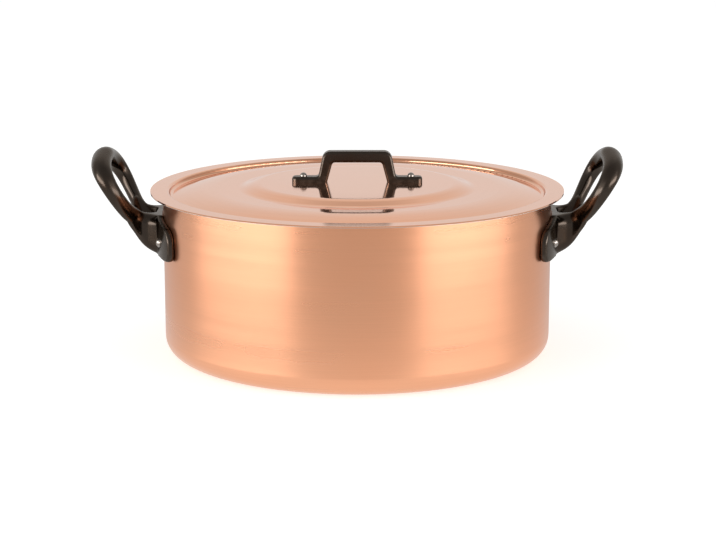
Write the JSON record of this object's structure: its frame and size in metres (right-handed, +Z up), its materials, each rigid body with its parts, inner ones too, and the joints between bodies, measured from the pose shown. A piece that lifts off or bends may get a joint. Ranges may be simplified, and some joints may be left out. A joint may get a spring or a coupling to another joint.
{
  "type": "stew pot",
  "caption": "Round copper stew pot with a recessed lift-off lid, riveted cast iron loop handles and a cast iron bow on the lid.",
  "frame": {"origin": "middle of the flat base, on the surface that the pot stands on", "axes": "+Z up along the pot's axis, +X from the pot's axis to the right loop handle, the picture is taken from -Y"},
  "size_m": [0.3886, 0.3032, 0.1512],
  "materials": {
    "satin_copper": "copper with a fine brushed satin grain that runs round the wall",
    "polished_copper": "polished pale copper with faint turning lines",
    "lining_steel": "satin stainless steel",
    "dark_iron": "dark brown black enamelled casting, glossy, slightly uneven",
    "rivet_steel": "bright domed steel"
  },
  "bodies": {
    "pot": {"pot_shell": "satin_copper", "pot_lining": "lining_steel", "handle_left": "dark_iron", "handle_right": "dark_iron", "left_front_rivet": "rivet_steel", "left_rear_rivet": "rivet_steel", "right_front_rivet": "rivet_steel", "right_rear_rivet": "rivet_steel"},
    "lid": {"lid_shell": "polished_copper", "lid_lining": "lining_steel", "lid_handle": "dark_iron", "lid_left_rivet": "rivet_steel", "lid_right_rivet": "rivet_steel"}
  },
  "joints": [
    {"name": "lid_lift", "type": "slide", "parent": "pot", "child": "lid", "axis": [0, 0, 1], "range_m": [0, 0.08]}
  ]
}
